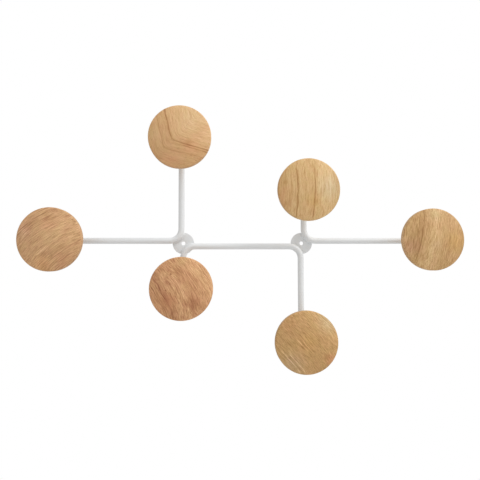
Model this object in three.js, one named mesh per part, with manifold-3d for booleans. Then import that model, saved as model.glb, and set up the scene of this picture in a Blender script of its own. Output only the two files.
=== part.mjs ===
// Wall coat rack: three bent steel rods welded to two round wall plates, with six wooden discs
// that stand out from the wall on the rods' ends. A disc's face is gently domed. Each disc hides a
// short bent stem, and coats hang on the stem, behind the disc.
//
// Millimetres. +X is to the right and +Z is up as one looks at the wall, and -Y points away from
// the wall. The origin is on the wall, midway between the two screw holes.

import * as THREE from 'three';
import { mergeVertices } from 'three/addons/utils/BufferGeometryUtils.js';
import Module from 'manifold-3d';

const wasm = await Module();
wasm.setup();

// ---------------------------------------------------------------- driving dimensions

const GAP = 0.3;                      // left between pieces that touch

const PLATE_SPACING = 200;            // between the two screw holes
const PLATE_DIAMETER = 36;
const PLATE_THICKNESS = 4;
const PLATE_EDGE = 0.8;               // rounded rim of a plate
const SCREW_HOLE_DIAMETER = 6.6;

const ROD_DIAMETER = 10;
const BEND_RADIUS = 20;               // to the rod's middle, in every bend

const SIDE_ROD_RISE = 4;              // side rods run this far above the plates' centres
const SIDE_ROD_SHIFT = 3;             // and stand this far outside them
const CENTRE_ROD_DROP = 5.3;          // the centre rod runs this far below the plates' centres
const CENTRE_ROD_RIGHT_SHIFT = 2.5;   // its right leg hangs this far inside the right plate

const SIDE_REACH = 304;               // from the middle of the rack to the outermost discs
const TOP_LEFT_HEIGHT = 167;
const TOP_RIGHT_HEIGHT = 84;
const LOW_LEFT_DEPTH = 73.5;
const LOW_RIGHT_DEPTH = 159;

const DISC_DIAMETER = 100;
const DISC_RIM = 14;                  // height of the side, over its rounded edges
const DISC_EDGE = 2.5;                // rounded edge, front and back
const DISC_DOME_RADIUS = 140;         // of the sphere that the face is part of
const DISC_STANDOFF = 52;             // from the wall to a disc's back

const BOLT_DIAMETER = 6;              // hanger bolt: machine thread one end, wood thread the other
const BOLT_IN_ROD = 12;
const BOLT_IN_DISC = 10;
const THREAD_PITCH = 2.5;             // of the wood thread
const THREAD_DEPTH = 0.6;

const WELD_RADIUS = 2;
const WELD_OFFSET = 4.6;              // from the rod's middle to the weld's middle
const WELD_SWEEP = Math.PI / 3;       // how far round the bend the weld runs

const ROD_SIDES = 20;
const BEND_STEPS = 9;
const DISC_SIDES = 48;
const PLATE_SIDES = 36;
const BOLT_SIDES = 12;
const WELD_STEPS = 6;
const EDGE_STEPS = 3;
const DOME_STEPS = 5;

// ---------------------------------------------------------------- places worked out from them

const rodRadius = ROD_DIAMETER / 2;
const rodY = -(PLATE_THICKNESS + GAP + rodRadius);
const discBackY = -DISC_STANDOFF;
const stemEndY = discBackY + GAP;
const plateX = PLATE_SPACING / 2;

const sideRodX = plateX + SIDE_ROD_SHIFT;
const rightLegX = plateX - CENTRE_ROD_RIGHT_SHIFT;

// Each disc's centre, as seen from the front.
const discCentres = {
  far_left: { x: -SIDE_REACH, z: SIDE_ROD_RISE },
  top_left: { x: -sideRodX, z: TOP_LEFT_HEIGHT },
  low_left: { x: -plateX, z: -LOW_LEFT_DEPTH },
  top_right: { x: sideRodX, z: TOP_RIGHT_HEIGHT },
  far_right: { x: SIDE_REACH, z: SIDE_ROD_RISE },
  low_right: { x: rightLegX, z: -LOW_RIGHT_DEPTH },
};

// Each rod joins two discs, and turns at the corners between them.
const rods = {
  rod_left: { from: 'far_left', to: 'top_left', corners: [{ x: -sideRodX, z: SIDE_ROD_RISE }] },
  rod_right: { from: 'top_right', to: 'far_right', corners: [{ x: sideRodX, z: SIDE_ROD_RISE }] },
  rod_centre: {
    from: 'low_left',
    to: 'low_right',
    corners: [{ x: -plateX, z: -CENTRE_ROD_DROP }, { x: rightLegX, z: -CENTRE_ROD_DROP }],
  },
};

// Each weld joins a rod's bend to a plate, at the rod's first corner, 0, or its second, 1.
const welds = {
  weld_left_upper: { rod: rods.rod_left, corner: 0, plateX: -plateX },
  weld_left_lower: { rod: rods.rod_centre, corner: 0, plateX: -plateX },
  weld_right_upper: { rod: rods.rod_right, corner: 0, plateX },
  weld_right_lower: { rod: rods.rod_centre, corner: 1, plateX },
};

// ---------------------------------------------------------------- materials

const whiteSteel = new THREE.MeshStandardMaterial({ color: 0xdededc, roughness: 0.5, metalness: 0.0 });
const zincSteel = new THREE.MeshStandardMaterial({ color: 0xa8a9ab, roughness: 0.35, metalness: 1.0 });
const paleWood = new THREE.MeshStandardMaterial({ color: 0xcfa26b, roughness: 0.6, metalness: 0.0 });

// ---------------------------------------------------------------- solids

function toManifold(geometry) {
  const bare = geometry.clone();
  bare.deleteAttribute('normal');
  bare.deleteAttribute('uv');
  const merged = mergeVertices(bare, 1e-4);
  const mesh = new wasm.Mesh({
    numProp: 3,
    vertProperties: new Float32Array(merged.attributes.position.array),
    triVerts: new Uint32Array(merged.index.array),
  });
  return new wasm.Manifold(mesh);
}

function toGeometry(solid) {
  const mesh = solid.getMesh();
  const geometry = new THREE.BufferGeometry();
  geometry.setAttribute('position', new THREE.BufferAttribute(mesh.vertProperties, 3));
  geometry.setIndex(new THREE.BufferAttribute(mesh.triVerts, 1));
  geometry.computeVertexNormals();
  return geometry;
}

// A path of straights joined by round bends, with one ring of the tube where each straight begins
// and ends and a few more round each bend.
class BentPath extends THREE.Curve {
  constructor(corners) {
    super();
    this.rings = [];
    const last = corners.length - 1;
    this.addRing(corners[0], corners[1].clone().sub(corners[0]));
    for (let i = 1; i < last; i++) {
      this.addBend(corners[i - 1], corners[i], corners[i + 1]);
    }
    this.addRing(corners[last], corners[last].clone().sub(corners[last - 1]));
  }

  addRing(point, direction) {
    this.rings.push({ point: point.clone(), tangent: direction.clone().normalize() });
  }

  // A right-angled bend: the two directions are the axes of its quarter circle.
  addBend(before, corner, after) {
    const inward = corner.clone().sub(before).normalize();
    const outward = after.clone().sub(corner).normalize();
    const centre = corner.clone();
    centre.addScaledVector(inward, -BEND_RADIUS);
    centre.addScaledVector(outward, BEND_RADIUS);
    for (let step = 0; step <= BEND_STEPS; step++) {
      const angle = (Math.PI / 2) * (step / BEND_STEPS);
      const point = centre.clone();
      point.addScaledVector(inward, BEND_RADIUS * Math.sin(angle));
      point.addScaledVector(outward, -BEND_RADIUS * Math.cos(angle));
      const tangent = inward.clone().multiplyScalar(Math.cos(angle));
      tangent.addScaledVector(outward, Math.sin(angle));
      this.addRing(point, tangent);
    }
  }

  ringAt(u) {
    return this.rings[Math.round(u * (this.rings.length - 1))];
  }

  getPointAt(u) {
    return this.ringAt(u).point.clone();
  }

  getTangentAt(u) {
    return this.ringAt(u).tangent.clone();
  }
}

function circle(radius, sides) {
  const outline = [];
  for (let i = 0; i < sides; i++) {
    const angle = (2 * Math.PI * i) / sides;
    outline.push(new THREE.Vector2(radius * Math.cos(angle), radius * Math.sin(angle)));
  }
  return new THREE.Shape(outline);
}

function tubeAlong(path, steps, radius, sides) {
  return new THREE.ExtrudeGeometry(circle(radius, sides), { extrudePath: path, steps });
}

// An arc of profile points about (x, y), from one angle to another.
function arcPoints(x, y, radius, startAngle, endAngle, steps) {
  const points = [];
  for (let step = 0; step <= steps; step++) {
    const angle = startAngle + (endAngle - startAngle) * (step / steps);
    points.push(new THREE.Vector2(x + radius * Math.cos(angle), y + radius * Math.sin(angle)));
  }
  return points;
}

// The rod's own path: out of one disc's back, down the stem to the wall, along the wall and out
// again to the other disc.
function rodTube(rod, radius) {
  const stops = stopsOf(rod);
  const onWall = stops.map((p) => new THREE.Vector3(p.x, rodY, p.z));
  const path = new BentPath([
    new THREE.Vector3(stops[0].x, stemEndY, stops[0].z),
    ...onWall,
    new THREE.Vector3(stops.at(-1).x, stemEndY, stops.at(-1).z),
  ]);
  return toManifold(tubeAlong(path, path.rings.length - 1, radius, ROD_SIDES));
}

function stopsOf(rod) {
  return [discCentres[rod.from], ...rod.corners, discCentres[rod.to]];
}

// The blind tapped hole in a stem's end, as a solid to cut away.
function stemHole(centre) {
  const depth = BOLT_IN_ROD + GAP;
  const beyond = 1;
  const hole = new THREE.CylinderGeometry(BOLT_DIAMETER / 2 + GAP, BOLT_DIAMETER / 2 + GAP,
    depth + beyond, BOLT_SIDES);
  hole.translate(centre.x, stemEndY + (depth - beyond) / 2, centre.z);
  return toManifold(hole);
}

function rodGeometry(rod) {
  let solid = rodTube(rod, rodRadius);
  for (const end of [rod.from, rod.to]) {
    solid = solid.subtract(stemHole(discCentres[end]));
  }
  return toGeometry(solid);
}

// A turned disc: a domed face, a straight side with both edges rounded, a flat back and a pilot
// hole in it. The dome runs into the front edge without a crease, at the tilt worked out here.
function discGeometry() {
  const front = -Math.PI / 2;
  const edgeX = DISC_DIAMETER / 2 - DISC_EDGE;
  const frontEdgeY = -(DISC_RIM - DISC_EDGE);
  const domeTilt = Math.asin(edgeX / (DISC_DOME_RADIUS - DISC_EDGE));
  const domeY = frontEdgeY + (DISC_DOME_RADIUS - DISC_EDGE) * Math.cos(domeTilt);
  const pilotRadius = BOLT_DIAMETER / 2 + GAP;
  const pilotDepth = BOLT_IN_DISC + GAP;
  const dome = arcPoints(0, domeY, DISC_DOME_RADIUS, front, front + domeTilt, DOME_STEPS);
  dome[0].x = 0;
  const profile = [
    ...dome,
    ...arcPoints(edgeX, frontEdgeY, DISC_EDGE, front + domeTilt, 0, EDGE_STEPS).slice(1),
    ...arcPoints(edgeX, -DISC_EDGE, DISC_EDGE, 0, Math.PI / 2, EDGE_STEPS),
    new THREE.Vector2(pilotRadius, 0),
    new THREE.Vector2(pilotRadius, -pilotDepth),
    new THREE.Vector2(0, -pilotDepth),
  ];
  return new THREE.LatheGeometry(profile, DISC_SIDES);
}

// A round washer-like plate, its back on the wall, with the screw hole through its middle.
function plateGeometry(thickness, radius) {
  const holeRadius = SCREW_HOLE_DIAMETER / 2;
  const rimX = radius - PLATE_EDGE;
  const rimY = -thickness + PLATE_EDGE;
  const profile = [
    new THREE.Vector2(holeRadius, -thickness),
    ...arcPoints(rimX, rimY, PLATE_EDGE, -Math.PI / 2, 0, EDGE_STEPS),
    new THREE.Vector2(radius, 0),
    new THREE.Vector2(holeRadius, 0),
    new THREE.Vector2(holeRadius, -thickness),
  ];
  return new THREE.LatheGeometry(profile, PLATE_SIDES);
}

// A hanger bolt, from its machine end in the rod to its pointed, ridged end in the wood.
function boltGeometry() {
  const radius = BOLT_DIAMETER / 2;
  const root = radius - THREAD_DEPTH;
  const ridges = 3;
  const profile = [new THREE.Vector2(0, -BOLT_IN_DISC), new THREE.Vector2(root * 0.4, -BOLT_IN_DISC)];
  for (let i = 0; i < ridges; i++) {
    const y = -BOLT_IN_DISC + THREAD_PITCH * (i + 0.6);
    profile.push(new THREE.Vector2(root, y));
    profile.push(new THREE.Vector2(radius, y + THREAD_PITCH / 3));
  }
  profile.push(new THREE.Vector2(root, -THREAD_PITCH / 3));
  profile.push(new THREE.Vector2(radius, GAP));
  profile.push(new THREE.Vector2(radius, BOLT_IN_ROD - THREAD_DEPTH));
  profile.push(new THREE.Vector2(root, BOLT_IN_ROD));
  profile.push(new THREE.Vector2(0, BOLT_IN_ROD));
  return new THREE.LatheGeometry(profile, BOLT_SIDES);
}

// A weld bead in the corner between a plate's face and the outside of a rod's bend, cut to fit the
// rod and the plate beneath it.
function weldGeometry(weld) {
  const centre = bendCentre(weld.rod, weld.corner);
  const middle = Math.atan2(-centre.z, weld.plateX - centre.x);
  const reach = BEND_RADIUS + WELD_OFFSET;
  const y = -(PLATE_THICKNESS + WELD_RADIUS / 2);
  const points = [];
  for (let i = 0; i <= WELD_STEPS; i++) {
    const angle = middle + WELD_SWEEP * (i / WELD_STEPS - 0.5);
    points.push(new THREE.Vector3(
      centre.x + reach * Math.cos(angle), y, centre.z + reach * Math.sin(angle)));
  }
  const path = new THREE.CatmullRomCurve3(points);
  const bead = toManifold(tubeAlong(path, WELD_STEPS, WELD_RADIUS, BOLT_SIDES));
  const plate = plateGeometry(PLATE_THICKNESS + GAP, PLATE_DIAMETER / 2 + GAP);
  plate.translate(weld.plateX, 0, 0);
  return toGeometry(bead.subtract(rodTube(weld.rod, rodRadius + GAP)).subtract(toManifold(plate)));
}

// The centre of the bend at one of a rod's corners, on the side that its two straights turn towards.
function bendCentre(rod, corner) {
  const [before, at, after] = stopsOf(rod).slice(corner, corner + 3);
  return {
    x: at.x + BEND_RADIUS * Math.sign(before.x + after.x - 2 * at.x),
    z: at.z + BEND_RADIUS * Math.sign(before.z + after.z - 2 * at.z),
  };
}

// ---------------------------------------------------------------- the rack

const rack = new THREE.Group();

function addPiece(name, geometry, material, x = 0, y = 0, z = 0) {
  const mesh = new THREE.Mesh(geometry, material);
  mesh.name = name;
  mesh.position.set(x, y, z);
  rack.add(mesh);
}

for (const [name, rod] of Object.entries(rods)) {
  addPiece(name, rodGeometry(rod), whiteSteel);
}

for (const [side, x] of [['left', -plateX], ['right', plateX]]) {
  addPiece(`wall_plate_${side}`, plateGeometry(PLATE_THICKNESS, PLATE_DIAMETER / 2), whiteSteel, x);
}

for (const [name, weld] of Object.entries(welds)) {
  addPiece(name, weldGeometry(weld), whiteSteel);
}

for (const [place, centre] of Object.entries(discCentres)) {
  addPiece(`disc_${place}`, discGeometry(), paleWood, centre.x, discBackY, centre.z);
  addPiece(`hanger_bolt_${place}`, boltGeometry(), zincSteel, centre.x, discBackY, centre.z);
}

export default rack;
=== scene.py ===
"""A wall coat rack: three bent white rods on two round wall plates, with a domed wooden disc on
each end. The rods, plates, welds and discs are remade here with fine meshes, each in its CAD
node's place. The hanger bolts keep their CAD meshes. Metres, +X to the right and +Z up as one
looks at the wall, -Y out from the wall."""

import math

import bpy
from mathutils import Matrix, Vector


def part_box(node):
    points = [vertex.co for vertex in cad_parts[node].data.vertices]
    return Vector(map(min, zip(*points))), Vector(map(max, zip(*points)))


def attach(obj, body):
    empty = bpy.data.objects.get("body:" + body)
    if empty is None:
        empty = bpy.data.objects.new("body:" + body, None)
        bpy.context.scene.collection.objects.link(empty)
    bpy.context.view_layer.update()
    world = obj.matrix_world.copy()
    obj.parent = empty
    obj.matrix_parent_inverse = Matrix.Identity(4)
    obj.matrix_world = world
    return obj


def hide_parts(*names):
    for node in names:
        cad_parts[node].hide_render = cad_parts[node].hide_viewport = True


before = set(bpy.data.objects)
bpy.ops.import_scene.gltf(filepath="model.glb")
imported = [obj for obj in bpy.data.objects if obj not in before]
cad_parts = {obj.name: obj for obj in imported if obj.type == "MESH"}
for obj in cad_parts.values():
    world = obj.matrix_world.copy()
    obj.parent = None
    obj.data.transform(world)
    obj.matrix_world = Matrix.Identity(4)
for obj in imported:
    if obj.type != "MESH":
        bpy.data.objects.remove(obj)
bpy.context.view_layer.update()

MM = 0.001

# ---------------------------------------------------------------- sizes

# The sizes that the frame's boxes don't show.
BEND_RADIUS = 20 * MM
DOME_RADIUS = 140 * MM
DISC_EDGE = 2.5 * MM
PLATE_EDGE = 0.8 * MM
SMALL_EDGE = 0.35 * MM
SCREW_HOLE_RADIUS = 3.3 * MM
BOLT_HOLE_RADIUS = 3.3 * MM
ROD_HOLE_DEPTH = 12.3 * MM
DISC_HOLE_DEPTH = 10.3 * MM

# A weld bead runs beside a bend, WELD_OFFSET out from the bar's middle line. The lift of its own
# middle off the plate, its ripples' height and its thickness at its tips are shares of its radius.
# The higher WELD_BLUNTNESS, the shorter its tapered ends.
WELD_RADIUS = 1.9 * MM
WELD_OFFSET = 4.7 * MM
WELD_SWEEP = math.radians(58)
WELD_LIFT = 0.45
WELD_RIPPLES = 13
WELD_RIPPLE_HEIGHT = 0.055
WELD_TIP = 0.12
WELD_BLUNTNESS = 6

# How fine the meshes are.
ROD_SIDES = 40
TURNED_SIDES = 128
BEND_STEPS = 24
DOME_STEPS = 24
EDGE_STEPS = 8
SMALL_EDGE_STEPS = 4
RIPPLE_STEPS = 6

DISC_PLACES = ("far_left", "top_left", "low_left", "top_right", "far_right", "low_right")


def middle(node):
    low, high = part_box(node)
    return (low + high) / 2


disc_centre = {place: middle(f"disc_{place}") for place in DISC_PLACES}
disc_low, disc_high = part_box("disc_far_left")
disc_radius = (disc_high.x - disc_low.x) / 2
disc_front = disc_low.y
disc_back = disc_high.y
plate_low, plate_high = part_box("wall_plate_left")
plate_radius = (plate_high.x - plate_low.x) / 2
plate_face = plate_low.y
rod_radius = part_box("rod_left")[1].x - disc_centre["top_left"].x
rod_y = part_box("rod_left")[1].y - rod_radius
centre_rod_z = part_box("rod_centre")[1].z - rod_radius

# ---------------------------------------------------------------- meshes


def new_piece(name, vertices, faces, sharp_degrees):
    """An object with smooth shading, apart from edges that turn by more than sharp_degrees."""
    mesh = bpy.data.meshes.new(name)
    mesh.from_pydata(vertices, [], faces)
    mesh.validate()
    for polygon in mesh.polygons:
        polygon.use_smooth = True
    mesh.set_sharp_from_angle(angle=math.radians(sharp_degrees))
    piece = bpy.data.objects.new(name, mesh)
    bpy.context.scene.collection.objects.link(piece)
    return piece


def skin(rings, first_point, last_point):
    """Vertices and faces of a closed tube through rings of points, shut at both ends by a point.
    With no end points the last ring joins the first."""
    count = len(rings[0])
    looped = first_point is None
    vertices = [point for ring in rings for point in ring]
    faces = []
    for near in range(len(rings) if looped else len(rings) - 1):
        far = (near + 1) % len(rings)
        for i in range(count):
            j = (i + 1) % count
            faces.append((near * count + i, near * count + j, far * count + j, far * count + i))
    if not looped:
        start = len(vertices)
        vertices += [first_point, last_point]
        last = (len(rings) - 1) * count
        for i in range(count):
            j = (i + 1) % count
            faces.append((start, j, i))
            faces.append((start + 1, last + i, last + j))
    return vertices, faces


def arc(x, y, radius, start, end, steps):
    """Points of an arc about (x, y), angles in degrees."""
    points = []
    for step in range(steps + 1):
        angle = math.radians(start + (end - start) * step / steps)
        points.append((x + radius * math.cos(angle), y + radius * math.sin(angle)))
    return points


def turned(name, profile, sharp_degrees, looped=False):
    """A solid of revolution about Y. The profile's points are (radius, y), from front to back.
    It starts and ends on the axis, or looped says that it joins itself round a hole."""
    body = profile if looped else profile[1:-1]
    rings = []
    for radius, y in body:
        ring = []
        for i in range(TURNED_SIDES):
            angle = 2 * math.pi * i / TURNED_SIDES
            ring.append((radius * math.cos(angle), y, -radius * math.sin(angle)))
        rings.append(ring)
    ends = (None, None) if looped else ((0, profile[0][1], 0), (0, profile[-1][1], 0))
    return new_piece(name, *skin(rings, *ends), sharp_degrees)


def bent_path(corners):
    """Places and directions along straights joined by round bends."""
    stops = [(corners[0], (corners[1] - corners[0]).normalized())]
    for before, corner, after in zip(corners, corners[1:], corners[2:]):
        inward = (corner - before).normalized()
        outward = (after - corner).normalized()
        centre = corner - inward * BEND_RADIUS + outward * BEND_RADIUS
        for step in range(BEND_STEPS + 1):
            angle = math.pi / 2 * step / BEND_STEPS
            reach = inward * math.sin(angle) - outward * math.cos(angle)
            direction = inward * math.cos(angle) + outward * math.sin(angle)
            stops.append((centre + reach * BEND_RADIUS, direction))
    stops.append((corners[-1], (corners[-1] - corners[-2]).normalized()))
    return stops


def ring_about(place, side, direction, radius):
    """A ring of points about a line through place. Its first point lies towards side."""
    up = direction.cross(side)
    ring = []
    for i in range(ROD_SIDES):
        angle = 2 * math.pi * i / ROD_SIDES
        ring.append(place + (side * math.cos(angle) + up * math.sin(angle)) * radius)
    return ring


def rod(name, start, end, turns):
    """A bent bar from one disc's back to another's, with a hole for the bolt in both ends."""
    on_wall = [Vector((p.x, rod_y, p.z)) for p in (start, *turns, end)]
    tips = [Vector((p.x, disc_back, p.z)) for p in (start, end)]
    stops = bent_path([tips[0], *on_wall, tips[1]])
    first, first_way = stops[0]
    last, last_way = stops[-1]

    # Radius and depth from the hole's bottom out to the bar's side.
    tip = [(BOLT_HOLE_RADIUS, ROD_HOLE_DEPTH), (BOLT_HOLE_RADIUS, SMALL_EDGE),
           (BOLT_HOLE_RADIUS + SMALL_EDGE, 0), (rod_radius - SMALL_EDGE, 0),
           (rod_radius, SMALL_EDGE)]
    side = Vector((1, 0, 0)).cross(first_way).normalized()
    rings = []
    for radius, depth in tip:
        rings.append(ring_about(first + first_way * depth, side, first_way, radius))
    for (_, old), (place, new) in zip(stops, stops[1:-1]):
        side = old.rotation_difference(new) @ side
        rings.append(ring_about(place, side, new, rod_radius))
    for radius, depth in reversed(tip):
        rings.append(ring_about(last - last_way * depth, side, last_way, radius))
    ends = (first + first_way * ROD_HOLE_DEPTH, last - last_way * ROD_HOLE_DEPTH)
    return new_piece(name, *skin(rings, *ends), sharp_degrees=40)


def weld(name, plate_centre, corner, toward):
    """A rippled bead in the corner between a plate's face and the outside of a rod's bend."""
    centre = Vector((corner.x + toward[0] * BEND_RADIUS, 0, corner.z + toward[1] * BEND_RADIUS))
    aim = math.atan2(plate_centre.z - centre.z, plate_centre.x - centre.x)
    steps = WELD_RIPPLES * RIPPLE_STEPS
    rings = []
    for step in range(steps + 1):
        along = step / steps
        angle = aim + WELD_SWEEP * (along - 0.5)
        out = Vector((math.cos(angle), 0, math.sin(angle)))
        direction = Vector((-math.sin(angle), 0, math.cos(angle)))
        place = centre + out * (BEND_RADIUS + WELD_OFFSET)
        place.y = plate_face - WELD_RADIUS * WELD_LIFT
        swell = math.sqrt(max(0, 1 - abs(2 * along - 1) ** WELD_BLUNTNESS))
        taper = min(1, swell + WELD_TIP)
        ripple = 1 + WELD_RIPPLE_HEIGHT * abs(math.sin(math.pi * WELD_RIPPLES * along))
        rings.append(ring_about(place, out, direction, WELD_RADIUS * taper * ripple))
    ends = (sum(ring, Vector()) / ROD_SIDES for ring in (rings[0], rings[-1]))
    return new_piece(name, *skin(rings, *ends), sharp_degrees=60)


def disc(name, centre):
    """A domed face that runs smoothly into a rounded edge, a straight side and a flat back."""
    edge = disc_radius - DISC_EDGE
    tilt = math.asin(edge / (DOME_RADIUS - DISC_EDGE))
    edge_depth = DOME_RADIUS - (DOME_RADIUS - DISC_EDGE) * math.cos(tilt)
    dome_end = math.degrees(tilt) - 90
    thickness = disc_back - disc_front
    profile = [(0, 0)]
    profile += arc(0, DOME_RADIUS, DOME_RADIUS, -90, dome_end, DOME_STEPS)[1:]
    profile += arc(edge, edge_depth, DISC_EDGE, dome_end, 0, EDGE_STEPS)[1:]
    profile += arc(edge, thickness - DISC_EDGE, DISC_EDGE, 0, 90, EDGE_STEPS)
    profile += [(BOLT_HOLE_RADIUS, thickness), (BOLT_HOLE_RADIUS, thickness - DISC_HOLE_DEPTH)]
    profile += [(0, thickness - DISC_HOLE_DEPTH)]
    piece = turned(name, profile, sharp_degrees=40)
    piece.location = (centre.x, disc_front, centre.z)
    return piece


def plate(name, centre):
    """A round plate with a rounded rim and a screw hole, its back in the wall's plane."""
    rim = plate_radius - PLATE_EDGE
    hole = SCREW_HOLE_RADIUS + SMALL_EDGE
    profile = arc(rim, plate_face + PLATE_EDGE, PLATE_EDGE, -90, 0, EDGE_STEPS)
    profile += [(plate_radius, -SMALL_EDGE), (plate_radius - SMALL_EDGE, 0)]
    profile += [(SCREW_HOLE_RADIUS, 0)]
    profile += arc(hole, plate_face + SMALL_EDGE, SMALL_EDGE, 180, 270, SMALL_EDGE_STEPS)
    piece = turned(name, profile, sharp_degrees=50, looped=True)
    piece.location = (centre.x, 0, centre.z)
    return piece


# ---------------------------------------------------------------- materials


class Nodes:
    """A node tree, with short calls to add nodes and join them."""

    def __init__(self, tree):
        self.tree = tree

    def put(self, socket, value):
        """Join another node's output to a socket, or set the socket to a plain value."""
        if isinstance(value, bpy.types.NodeSocket):
            self.tree.links.new(value, socket)
        else:
            socket.default_value = value

    def add(self, kind, inputs, **settings):
        node = self.tree.nodes.new(kind)
        for key, value in settings.items():
            setattr(node, key, value)
        for key, value in inputs.items():
            self.put(node.inputs[key], value)
        return node

    def math(self, operation, *values):
        inputs = dict(enumerate(values))
        return self.add("ShaderNodeMath", inputs, operation=operation).outputs[0]

    def vector(self, operation, *values):
        node = self.add("ShaderNodeVectorMath", dict(enumerate(values)), operation=operation)
        return node.outputs["Value" if operation in ("LENGTH", "DOT_PRODUCT") else "Vector"]


class Shader(Nodes):
    """A material's nodes."""

    def __init__(self, name):
        self.material = bpy.data.materials.new(name)
        self.material.use_nodes = True
        super().__init__(self.material.node_tree)

    def set_surface(self, inputs):
        """Give the material's surface its colour, roughness and so on."""
        surface = self.tree.nodes["Principled BSDF"]
        for key, value in inputs.items():
            self.put(surface.inputs[key], value)

    def place(self, per_metre):
        """A point's place on its piece, as so many units to the metre."""
        metres = self.add("ShaderNodeTexCoord", {}).outputs["Object"]
        return self.vector("MULTIPLY", metres, (per_metre, per_metre, per_metre))

    def between(self, value, low, high, to_low=0.0, to_high=1.0):
        """value, eased from one range to another. Either range may run downwards."""
        inputs = {"Value": value, "From Min": low, "From Max": high,
                  "To Min": to_low, "To Max": to_high}
        node = self.add("ShaderNodeMapRange", inputs, interpolation_type="SMOOTHSTEP")
        return node.outputs["Result"]

    def noise(self, where, detail=2.0, roughness=0.5):
        """Noise about one unit broad."""
        inputs = {"Vector": where, "Scale": 1.0, "Detail": detail, "Roughness": roughness}
        return self.add("ShaderNodeTexNoise", inputs).outputs["Fac"]

    def ramp(self, value, stops):
        """The level at value, on straight lines between stops of (place, level)."""
        node = self.add("ShaderNodeValToRGB", {"Fac": value})
        elements = node.color_ramp.elements
        while len(elements) < len(stops):
            elements.new(0.5)
        for element, (place, level) in zip(elements, stops):
            element.position = place
            element.color = (level, level, level, 1)
        return self.add("ShaderNodeSeparateColor", {"Color": node.outputs["Color"]}).outputs[0]

    def mix(self, factor, a, b, blend="MIX"):
        """Colour a mixed towards b. The node's colour sockets share their names, so they go by
        their numbers."""
        node = self.add("ShaderNodeMix", {}, data_type="RGBA", blend_type=blend)
        self.put(node.inputs["Factor"], factor)
        self.put(node.inputs[6], a)
        self.put(node.inputs[7], b)
        return node.outputs[2]

    def bump(self, height, distance):
        inputs = {"Height": height, "Distance": distance}
        return self.add("ShaderNodeBump", inputs).outputs["Normal"]


def powder_coat():
    """White powder coat: satin, with a fine orange peel and the faintest unevenness of tone."""
    shader = Shader("powder_coat")
    broad = shader.noise(shader.place(per_metre=60))
    peel = shader.noise(shader.place(per_metre=800), detail=3)
    shader.set_surface({
        "Base Color": shader.mix(broad, (0.80, 0.814, 0.817, 1), (0.84, 0.853, 0.856, 1)),
        "Roughness": shader.between(peel, 0.3, 0.7, to_low=0.36, to_high=0.46),
        "Normal": shader.bump(peel, distance=0.06 * MM),
    })
    return shader.material


def zinc():
    """Zinc-plated steel, for the bolts hidden between rod and disc."""
    shader = Shader("zinc_steel")
    cloud = shader.noise(shader.place(per_metre=500), detail=4)
    shader.set_surface({
        "Base Color": shader.mix(cloud, (0.50, 0.51, 0.53, 1), (0.66, 0.67, 0.68, 1)),
        "Roughness": shader.between(cloud, 0.2, 0.8, to_low=0.25, to_high=0.5),
        "Metallic": 1.0,
    })
    return shader.material


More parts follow.
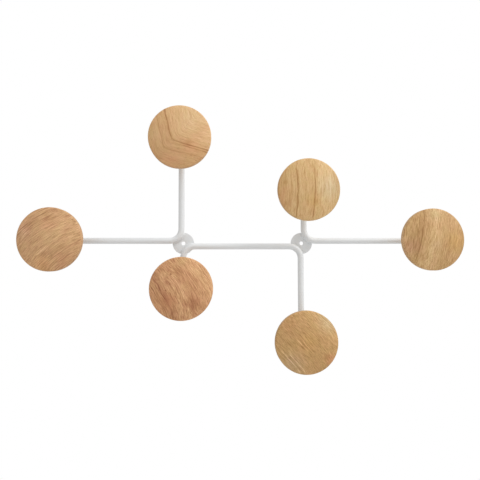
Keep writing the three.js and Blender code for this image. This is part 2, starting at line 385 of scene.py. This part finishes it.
# The look of each disc's wood. Lengths are millimetres on the disc's face, from its centre.
# pale, dark: the colours of tone 1 and tone 0. A tone may lie a little beyond either.
# seed: sets the chance patterns.
# across: the direction, in degrees from +X, that crosses the grain at the disc's middle.
# apex, turn, round: the grain bows back beside the line apex mm along it, with slope turn far from
#     that line and a nose round mm broad.
# wave: how far the grain wanders.
# figure: strength of the chance bands and streaks.
# dashes: width, length and depth of tone of the dark dashes.
# tones: broad bands, as (place across the grain, tone). They are partly the wood's own bands and
# partly painted shade: on most discs they run paler towards the upper right and darker towards the
# lower left, as the light falls.
# lines: growth lines as (place across the grain, half width, depth of tone, start and end along the
#     grain from the apex), pale if the depth is negative.
# spots: soft patches as (x, z, radius, depth of tone), pale if negative. The pale spot at the upper
# right of low_right is a painted highlight on its rounded edge.
# stains_and_sheen: soft patches as (x, z, radius, redness, blueness), as shares of the colour under
# them. Some are the wood's own hue; the paler, bluer ones towards the upper right, as on top_left,
# top_right and low_right, are painted sheen.
WOODS = {
    "top_left": {
        "pale": (0.894, 0.589, 0.312), "dark": (0.566, 0.297, 0.118), "seed": 3,
        "across": 223, "apex": -3, "turn": 0.64, "round": 4.5, "wave": 3.0,
        "figure": 0.4, "dashes": (0.75, 16, 0.5),
        "tones": [(-50, .86), (-18, .88), (-5, .84), (5, .78), (12, .72), (16, .58), (25, .66),
                  (30, .56), (36, .66), (50, .56)],
        "lines": [(13.5, 1.7, 1.15, -60, 60), (17.5, 1.0, .8, 5, 60), (7, .9, .5, 8, 60),
                  (1, .8, .4, -5, 50), (-7, .7, .3, -40, 10), (30, 1.1, .45, -60, 60)],
        "spots": [(14, -13, 10, .3), (34, 14, 16, .18), (-36, -2, 22, -.1), (-30, -30, 16, .05)],
        "stains_and_sheen": [(17, 28, 34, -.03, .06), (19, -19, 24, .035, -.03), (-14, -39, 22, .04, 0),
                   (-44, 6, 18, -.03, 0)],
    },
    "far_left": {
        "pale": (0.893, 0.581, 0.304), "dark": (0.511, 0.27, 0.121), "seed": 11,
        "across": 128, "apex": 10, "turn": 0.25, "round": 60, "wave": 1.4,
        "figure": 0.4, "dashes": (0.75, 22, 1.1),
        "tones": [(-50, .52), (-30, .62), (-12, .72), (0, .76), (12, .72), (25, .62), (35, .6),
                  (50, .6)],
        "lines": [(39, 1.1, 1.0, -32, 18), (35.5, 1.1, 1.0, -8, 26), (31, .8, .6, -36, 4),
                  (23.5, .9, .8, 0, 26), (8, .8, .5, -20, 12), (-8, .8, -.25, -60, 60),
                  (-12, .8, .5, -22, 10), (-27, .9, .5, -25, 20)],
        "spots": [(31, 31, 22, -.03), (-34, -22, 24, .12), (-2, 32, 9, .3), (-38, 14, 16, -.18)],
        "stains_and_sheen": [(0, 24, 18, .035, 0), (-36, 22, 18, .02, 0), (-8, -39, 24, .035, -.12),
                   (22, -33, 20, .03, 0), (8, 2, 20, -.02, 0), (-38, 10, 22, .01, .1)],
    },
    "low_left": {
        "pale": (0.985, 0.625, 0.326), "dark": (0.512, 0.237, 0.104), "seed": 23,
        "across": 20, "apex": -30, "turn": 0.5, "round": 90, "wave": 4.5,
        "figure": 0.5, "dashes": (0.65, 18, 1.1),
        "tones": [(-50, .6), (-36, .64), (-27, .5), (-18, .48), (-11, .68), (-4, .72), (3, .78),
                  (10, .64), (20, .58), (32, .74), (46, .84), (50, .8)],
        "lines": [(-33, 1.0, .6, -60, 60), (-24, 1.2, .7, -10, 60), (-14, 1.0, -.3, -60, 60),
                  (-9, .8, .5, 10, 50), (1, 1.3, -.2, -60, 60)],
        "spots": [(-15.5, 23, 2.2, 1.2), (-23, -2, 2.0, .9), (18, -24, 17, .5), (-22, -14, 13, .25),
                  (-3, 28, 11, .35), (-30, 32, 10, .15), (26, 32, 12, .08)],
        "stains_and_sheen": [(-21, -19, 24, .035, -.05), (18, -22, 20, .01, 0), (0, 42, 18, -.04, 0),
                   (34, 22, 22, -.01, 0)],
    },
    "top_right": {
        "pale": (0.902, 0.645, 0.335), "dark": (0.573, 0.322, 0.118), "seed": 31,
        "across": -1, "apex": 0, "turn": 0.1, "round": 80, "wave": 3.5,
        "figure": 0.4, "dashes": (0.7, 20, 0.75),
        "tones": [(-50, .4), (-42, .5), (-33, .66), (-21, .74), (-12, .8), (0, .76), (8, .7),
                  (14, .84), (25, .9), (33, .9), (40, .74), (50, .6)],
        "lines": [(-18, 1.5, 1.15, -50, 34), (8, 1.6, 1.15, -45, 32), (3, .8, .4, -10, 50),
                  (-28, .9, .6, -30, 40), (18, .6, .4, -60, 0), (-7, .8, .5, -15, 40),
                  (33, .7, .35, -40, 10)],
        "spots": [(-39, 10, 5, .35), (-36, -24, 9, .25), (10, -20, 7, .25), (-18, 5, 7, .2)],
        "stains_and_sheen": [(36, 2, 36, -.05, .25), (-42, -11, 28, .035, 0), (6, -20, 20, .015, -.12),
                   (-6, -33, 20, .02, 0)],
    },
    "far_right": {
        "pale": (0.94, 0.645, 0.341), "dark": (0.543, 0.306, 0.117), "seed": 43,
        "across": -10, "apex": 0, "turn": 0.1, "round": 80, "wave": 2.5,
        "figure": 0.45, "dashes": (0.65, 13, 1.1),
        "tones": [(-50, .66), (-38, .6), (-31, .52), (-23, .4), (-18, .54), (-10, .74), (-4, .86),
                  (3, .78), (12, .64), (26, .6), (38, .6), (50, .5)],
        "lines": [(-21.5, 1.3, .7, -40, 46), (-28, .9, .5, -25, 30), (16, .7, .4, -60, 20),
                  (-3, 1.0, -.2, -60, 60)],
        "spots": [(-38, -8, 12, .2), (-28, -34, 16, -.22), (-30, 26, 14, -.1), (1, 33, 8, -.12),
                  (16, 30, 18, .12)],
        "stains_and_sheen": [(0, 39, 16, -.035, .06), (-38, -11, 22, .03, .14), (34, -4, 26, .015, -.18),
                   (0, -10, 14, 0, .1)],
    },
    # low_right's pale band at 40 mm across the grain and its pale spot at the upper right are a
    # painted highlight on the rounded edge.
    "low_right": {
        "pale": (0.877, 0.558, 0.266), "dark": (0.51, 0.287, 0.103), "seed": 57,
        "across": 41, "apex": 0, "turn": 0.15, "round": 80, "wave": 2.5,
        "figure": 0.3, "dashes": (0.65, 11, 1.1),
        "tones": [(-50, .6), (-42, .62), (-30, .6), (-15, .54), (0, .52), (15, .54), (26, .56),
                  (34, .68), (40, .85), (50, .7)],
        "lines": [(-8, .9, -.8, -10, 14), (-5.5, .8, .6, -12, 12), (-3, .8, -.6, -8, 10),
                  (-31, 1.0, -.8, -34, 6), (-34, .8, .5, -34, 22), (-37, .9, -.6, -28, 24)],
        "spots": [(31, 29, 11, -.3), (30, -22, 9, .35), (-26, 28, 12, .12)],
        "stains_and_sheen": [(34, 33, 28, -.07, .25), (-24, -34, 32, -.04, .28), (37, -25, 16, .08, 0),
                   (-29, 28, 18, .03, 0), (0, 2, 24, .015, -.1)],
    },
}

# The width of face that the tones' colour ramp covers, in millimetres.
FACE_WIDTH = 100
# How fast the wood changes with depth, beside how fast it changes across the grain.
DEPTH_RATE = 0.25
# How far the grain leans sideways for each millimetre of depth.
GRAIN_LEAN = 0.2
# The waves in which the grain wanders, each as a share of the look's wave, a width, a length and
# a shift.
WAVES = ((3.0, 45, 70, 0.0), (0.8, 12, 22, 3.0), (0.4, 6, 9, 4.0))
# How far a step of a seed moves the noises of the grain and of the pores.
GRAIN_STEPS = (1.7, 0.9, 2.3)
PORE_STEPS = (1.3, 0.7, 1.9)
# How far a growth line takes to fade, to each side of its ends, in millimetres.
LINE_FADE = 5
# The tones at which the colour stops changing.
DARKEST = -0.7
PALEST = 1.15
# Colours that the wood is multiplied by in broad chance patches.
GREENER = (0.99, 1.01, 0.97)
REDDER = (1.01, 0.985, 1.0)
# The pores' colour as shares of the dark wood's, and how much of it shows.
PORE_SHADE = (0.62, 0.52, 0.45)
PORE_STRENGTH = 0.6
SHORT_PORE_STRENGTH = 0.6
# The height of the fibres beside the pores' depth.
FIBRE_HEIGHT = 0.3
CHANNELS = ("Red", "Green", "Blue")


class Wood(Shader):
    """Pale hardwood: broad bands, growth lines, streaks and fibre, and short pores along the grain.
    A point's place is u across the grain, y in depth and v along the grain, in millimetres.
    wandering is u with the grain's waves, and fibre is the finest of the streaks."""

    def __init__(self, name, look):
        super().__init__(name)
        self.look = look
        self.in_mm = self.place(per_metre=1000)
        across = math.radians(look["across"])
        outward = (math.cos(across), 0, math.sin(across))
        onward = (-math.sin(across), 0, math.cos(across))
        along = self.vector("DOT_PRODUCT", self.in_mm, onward)
        self.y = self.add("ShaderNodeSeparateXYZ", {0: self.in_mm}).outputs[1]
        self.v = self.math("SUBTRACT", along, look["apex"])
        nose = look["round"]
        bow = self.math("SQRT", self.math("MULTIPLY_ADD", self.v, self.v, nose * nose))
        bow = self.math("MULTIPLY", self.math("SUBTRACT", bow, nose), look["turn"])
        bowed = self.math("ADD", self.vector("DOT_PRODUCT", self.in_mm, outward), bow)
        self.u = self.math("MULTIPLY_ADD", self.y, GRAIN_LEAN, bowed)

        self.wandering = self.u
        for share, width, length, shift in WAVES:
            wave = self.grain(self.u, width, length, shift)
            self.wandering = self.plus(self.wandering, look["wave"] * share, wave)
        self.fibre = self.grain(self.wandering, width=0.33, length=4.0, shift=13.0, detail=2)

    def drawn_out(self, u, width, length, shift, steps):
        """A place in a noise, for features about so wide and so long, in millimetres. Each noise
        has its own shift, so that no two have the same pattern."""
        place = self.add("ShaderNodeCombineXYZ", {"X": u, "Y": self.y, "Z": self.v}).outputs[0]
        place = self.vector("MULTIPLY", place, (1 / width, DEPTH_RATE / width, 1 / length))
        x, y, z = (self.look["seed"] * step for step in steps)
        return self.vector("ADD", place, (x + shift, y, z))

    def grain(self, u, width, length, shift, detail=1.0, roughness=0.5):
        """Noise in streaks along the grain."""
        return self.noise(self.drawn_out(u, width, length, shift, GRAIN_STEPS), detail, roughness)

    def pores(self, width, length, shift, core, rim):
        """Short pores, 1 within their cores and fading to 0 at their rims, which are given as
        shares of the width and length of the space that each has."""
        place = self.drawn_out(self.wandering, width, length, shift, PORE_STEPS)
        cell = self.add("ShaderNodeTexVoronoi", {"Vector": place, "Scale": 1.0})
        return self.between(cell.outputs["Distance"], rim, core)

    def patch(self, x, z, radius):
        """A round patch, 1 in its middle, fading to 0 at its radius."""
        off = self.vector("SUBTRACT", self.in_mm, (x, 0, z))
        off = self.vector("LENGTH", self.vector("MULTIPLY", off, (1, 0, 1)))
        return self.between(off, radius, 0.0)

    def plus(self, level, amount, noise):
        """level, raised or lowered by noise about its middle."""
        return self.math("MULTIPLY_ADD", self.math("SUBTRACT", noise, 0.5), amount, level)

    def times(self, colour, factors):
        return self.mix(1.0, colour, (*factors, 1), "MULTIPLY")

    def placed_tone(self):
        """The tone of the bands, growth lines and spots that the look places. Besides the wood's
        own tone, the bands and spots hold painted shade and painted highlight.
        """
        # Painted shade in the tones: on most discs they run paler towards the upper right and
        # darker towards the lower left, on top of the wood's own bands.
        bands = [(0.5 + place / FACE_WIDTH, tone) for place, tone in self.look["tones"]]
        level = self.ramp(self.math("MULTIPLY_ADD", self.wandering, 1 / FACE_WIDTH, 0.5), bands)

        frays = self.grain(self.wandering, width=0.9, length=9, shift=15.0, detail=3, roughness=0.6)
        ragged = self.plus(self.wandering, 2.0, frays)
        gaps = self.grain(self.u, width=25, length=18, shift=5.0)
        fade = self.between(gaps, 0.30, 0.55, to_low=0.45, to_high=1.0)
        broken = self.between(self.fibre, 0.3, 0.7, to_low=0.6, to_high=1.4)
        fade = self.math("MULTIPLY", fade, broken)
        for place, width, depth, start, end in self.look["lines"]:
            off = self.math("ABSOLUTE", self.math("SUBTRACT", ragged, place))
            begun = self.between(self.v, start - LINE_FADE, start + LINE_FADE)
            going = self.between(self.v, end + LINE_FADE, end - LINE_FADE)
            line = self.math("MULTIPLY", self.between(off, width, 0.0), fade)
            line = self.math("MULTIPLY", line, begun)
            line = self.math("MULTIPLY", line, going)
            level = self.math("MULTIPLY_ADD", line, -depth, level)

        for x, z, radius, depth in self.look["spots"]:
            level = self.math("MULTIPLY_ADD", self.patch(x, z, radius), -depth, level)
        return level

    def with_figure(self, level):
        """A tone with the chance bands, streaks, fibre and dashes added."""
        bands = self.grain(self.wandering, width=6.0, length=120, shift=7.0)
        streaks = self.grain(self.wandering, width=2.0, length=22, shift=9.0)
        clouds = self.grain(self.u, width=16, length=20, shift=17.0, detail=2)
        figure = self.look["figure"]
        level = self.plus(level, 0.60 * figure, bands)
        level = self.plus(level, 0.75 * figure, streaks)
        level = self.plus(level, 0.55 * figure, clouds)
        level = self.plus(level, 0.55, self.fibre)
        width, length, depth = self.look["dashes"]
        dashes = self.grain(self.wandering, width, length, shift=11.0, detail=3, roughness=0.6)
        return self.math("MULTIPLY_ADD", self.between(dashes, 0.38, 0.74), -depth, level)

    def coloured(self, tone):
        """The colour of a tone. Equal steps of tone change it by equal factors."""
        limits = {"Value": tone, "Min": DARKEST, "Max": PALEST}
        tone = self.add("ShaderNodeClamp", limits).outputs[0]
        darkness = self.math("SUBTRACT", 1.0, tone)
        channels = {}
        for channel, pale, dark in zip(CHANNELS, self.look["pale"], self.look["dark"]):
            share = self.math("POWER", dark / pale, darkness)
            channels[channel] = self.math("MULTIPLY", share, pale)
        colour = self.add("ShaderNodeCombineColor", channels).outputs[0]

        blush = self.grain(self.wandering, width=9, length=16, shift=19.0, detail=2)
        blush = self.between(blush, 0.35, 0.65)
        colour = self.mix(blush, self.times(colour, GREENER), self.times(colour, REDDER))
        # Tinting patches: partly the wood's own hue and partly painted sheen, paler and bluer
        # towards the upper right.
        for x, z, radius, redness, blueness in self.look["stains_and_sheen"]:
            tinted = self.times(colour, (1 + redness, 1 - redness, 1 + blueness))
            colour = self.mix(self.patch(x, z, radius), colour, tinted)
        return colour

    def open_grain(self):
        """Long pores that crowd together in bands, and fainter short ones everywhere."""
        crowd = self.grain(self.wandering, width=7, length=40, shift=33.0, detail=2)
        crowd = self.between(crowd, 0.35, 0.62, to_low=0.35, to_high=1.0)
        long_pores = self.pores(width=1.05, length=7.5, shift=21.0, core=0.12, rim=0.30)
        long_pores = self.math("MULTIPLY", long_pores, crowd)
        short_pores = self.pores(width=0.62, length=3.2, shift=27.0, core=0.10, rim=0.26)
        short_pores = self.math("MULTIPLY", short_pores, SHORT_PORE_STRENGTH)
        return self.math("MAXIMUM", long_pores, short_pores)


def wood(name, look):
    """One disc's wood, finished with open pores."""
    shader = Wood(name, look)
    colour = shader.coloured(shader.with_figure(shader.placed_tone()))
    pores = shader.open_grain()
    pore_colour = [dark * shade for dark, shade in zip(look["dark"], PORE_SHADE)]
    shown = shader.math("MULTIPLY", pores, PORE_STRENGTH)
    height = shader.math("SUBTRACT", shader.math("MULTIPLY", shader.fibre, FIBRE_HEIGHT), pores)
    shader.set_surface({
        "Base Color": shader.mix(shown, colour, (*pore_colour, 1)),
        "Roughness": shader.between(shader.fibre, 0.3, 0.7, to_low=0.52, to_high=0.64),
        "Normal": shader.bump(height, distance=0.08 * MM),
    })
    return shader.material


def pale_floor():
    shader = Shader("pale_floor")
    cloud = shader.noise(shader.place(per_metre=3))
    shader.set_surface({
        "Base Color": shader.mix(cloud, (0.82, 0.82, 0.81, 1), (0.86, 0.86, 0.85, 1)),
        "Roughness": 0.8,
    })
    return shader.material


# ---------------------------------------------------------------- the rack


def finish_piece(piece, material, slot, *nodes):
    """Give a piece its material and its body, and hide the CAD nodes that it stands for."""
    piece.data.materials.append(material)
    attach(piece, "root")
    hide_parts(*nodes)


coat = powder_coat()
zinc_plate = zinc()

left_corner = Vector((disc_centre["top_left"].x, 0, disc_centre["far_left"].z))
right_corner = Vector((disc_centre["top_right"].x, 0, disc_centre["far_right"].z))
centre_corners = [
    Vector((disc_centre["low_left"].x, 0, centre_rod_z)),
    Vector((disc_centre["low_right"].x, 0, centre_rod_z)),
]
RODS = {
    "rod_left": ("far_left", "top_left", [left_corner]),
    "rod_right": ("top_right", "far_right", [right_corner]),
    "rod_centre": ("low_left", "low_right", centre_corners),
}
for node, (start, end, turns) in RODS.items():
    piece = rod(f"bent_{node}", disc_centre[start], disc_centre[end], turns)
    finish_piece(piece, coat, "powder_coat", node)

plate_centre = {}
for side in ("left", "right"):
    plate_centre[side] = middle(f"wall_plate_{side}")
    piece = plate(f"round_plate_{side}", plate_centre[side])
    finish_piece(piece, coat, "powder_coat", f"wall_plate_{side}")

# Each weld's bend opens towards the side given last, in X and in Z.
WELDS = {
    "weld_left_upper": ("left", left_corner, (-1, 1)),
    "weld_left_lower": ("left", centre_corners[0], (1, -1)),
    "weld_right_upper": ("right", right_corner, (1, 1)),
    "weld_right_lower": ("right", centre_corners[1], (-1, -1)),
}
for node, (side, corner, toward) in WELDS.items():
    piece = weld(f"bead_{node}", plate_centre[side], corner, toward)
    finish_piece(piece, coat, "powder_coat", node)

for place in DISC_PLACES:
    piece = disc(f"wood_disc_{place}", disc_centre[place])
    finish_piece(piece, wood(f"wood_{place}", WOODS[place]), "wood", f"disc_{place}")
    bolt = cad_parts[f"hanger_bolt_{place}"]
    bolt.data.materials.clear()
    bolt.data.materials.append(zinc_plate)

# ---------------------------------------------------------------- camera

CAMERA_PLACE = (-48.0 * MM, -890.4 * MM, -35.0 * MM)
CAMERA_YAW = math.radians(-2.798)
CAMERA_PITCH = math.radians(2.624)
CAMERA_ROLL = math.radians(0.113)
CAMERA_LENS = 39.385
CAMERA_SENSOR = 36
CAMERA_NEAREST = 10 * MM

camera_data = bpy.data.cameras.new("camera")
camera_data.lens = CAMERA_LENS
camera_data.sensor_width = CAMERA_SENSOR
camera_data.clip_start = CAMERA_NEAREST
camera = bpy.data.objects.new("camera", camera_data)
bpy.context.scene.collection.objects.link(camera)
level_camera = Matrix.Rotation(math.radians(90), 4, "X")
turn = Matrix.Rotation(CAMERA_YAW, 4, "Z") @ Matrix.Rotation(CAMERA_PITCH, 4, "X")
turn = turn @ Matrix.Rotation(CAMERA_ROLL, 4, "Y")
camera.matrix_world = Matrix.Translation(CAMERA_PLACE) @ turn @ level_camera
bpy.context.scene.camera = camera

# ---------------------------------------------------------------- light

# Places and widths in metres, powers in watts. Both lights are squares that face the origin.
SOFTBOXES = {
    "key": ((2.42, -1.08, 3.0), 2.0, 65),
    "fill": ((-1.3, -2.2, 0.1), 1.2, 3),
}
for name, (place, width, power) in SOFTBOXES.items():
    light = bpy.data.lights.new(name, "AREA")
    light.size = width
    light.energy = power
    lamp = bpy.data.objects.new(name, light)
    bpy.context.scene.collection.objects.link(lamp)
    lamp.location = place
    lamp.rotation_euler = (-Vector(place)).to_track_quat("-Z", "Y").to_euler()

# Soft light from all round, brighter on the key light's side. The backdrop itself is plain white
# to the camera.
SKY_LEVEL = 0.64
SKY_SLOPE = 0.22
SKY_BRIGHT_SIDE = Vector((0.62, -0.28, 0.74))
WHITE = (1, 1, 1, 1)

world = bpy.data.worlds.new("studio")
world.use_nodes = True
bpy.context.scene.world = world
sky = Nodes(world.node_tree)
direction = sky.add("ShaderNodeTexCoord", {}).outputs["Generated"]
slope = sky.vector("DOT_PRODUCT", direction, SKY_BRIGHT_SIDE * SKY_SLOPE)
soft_light = sky.tree.nodes["Background"]
sky.put(soft_light.inputs["Color"], WHITE)
sky.put(soft_light.inputs["Strength"], sky.math("ADD", slope, SKY_LEVEL))
backdrop = sky.add("ShaderNodeBackground", {"Color": WHITE})
to_camera = sky.add("ShaderNodeLightPath", {}).outputs["Is Camera Ray"]
sky_or_backdrop = {"Fac": to_camera, 1: soft_light.outputs[0], 2: backdrop.outputs[0]}
choice = sky.add("ShaderNodeMixShader", sky_or_backdrop).outputs[0]
sky.put(sky.tree.nodes["World Output"].inputs["Surface"], choice)

bpy.context.scene.view_settings.view_transform = "Standard"

# ---------------------------------------------------------------- floor

FLOOR_DROP = 1.1
FLOOR_HALF = 0.8

floor_corners = [(x * FLOOR_HALF, y * FLOOR_HALF, -FLOOR_DROP)
                 for x, y in ((-1, -1), (1, -1), (1, 1), (-1, 1))]
floor = new_piece("floor", floor_corners, [(0, 1, 2, 3)], sharp_degrees=180)
floor.data.materials.append(pale_floor())
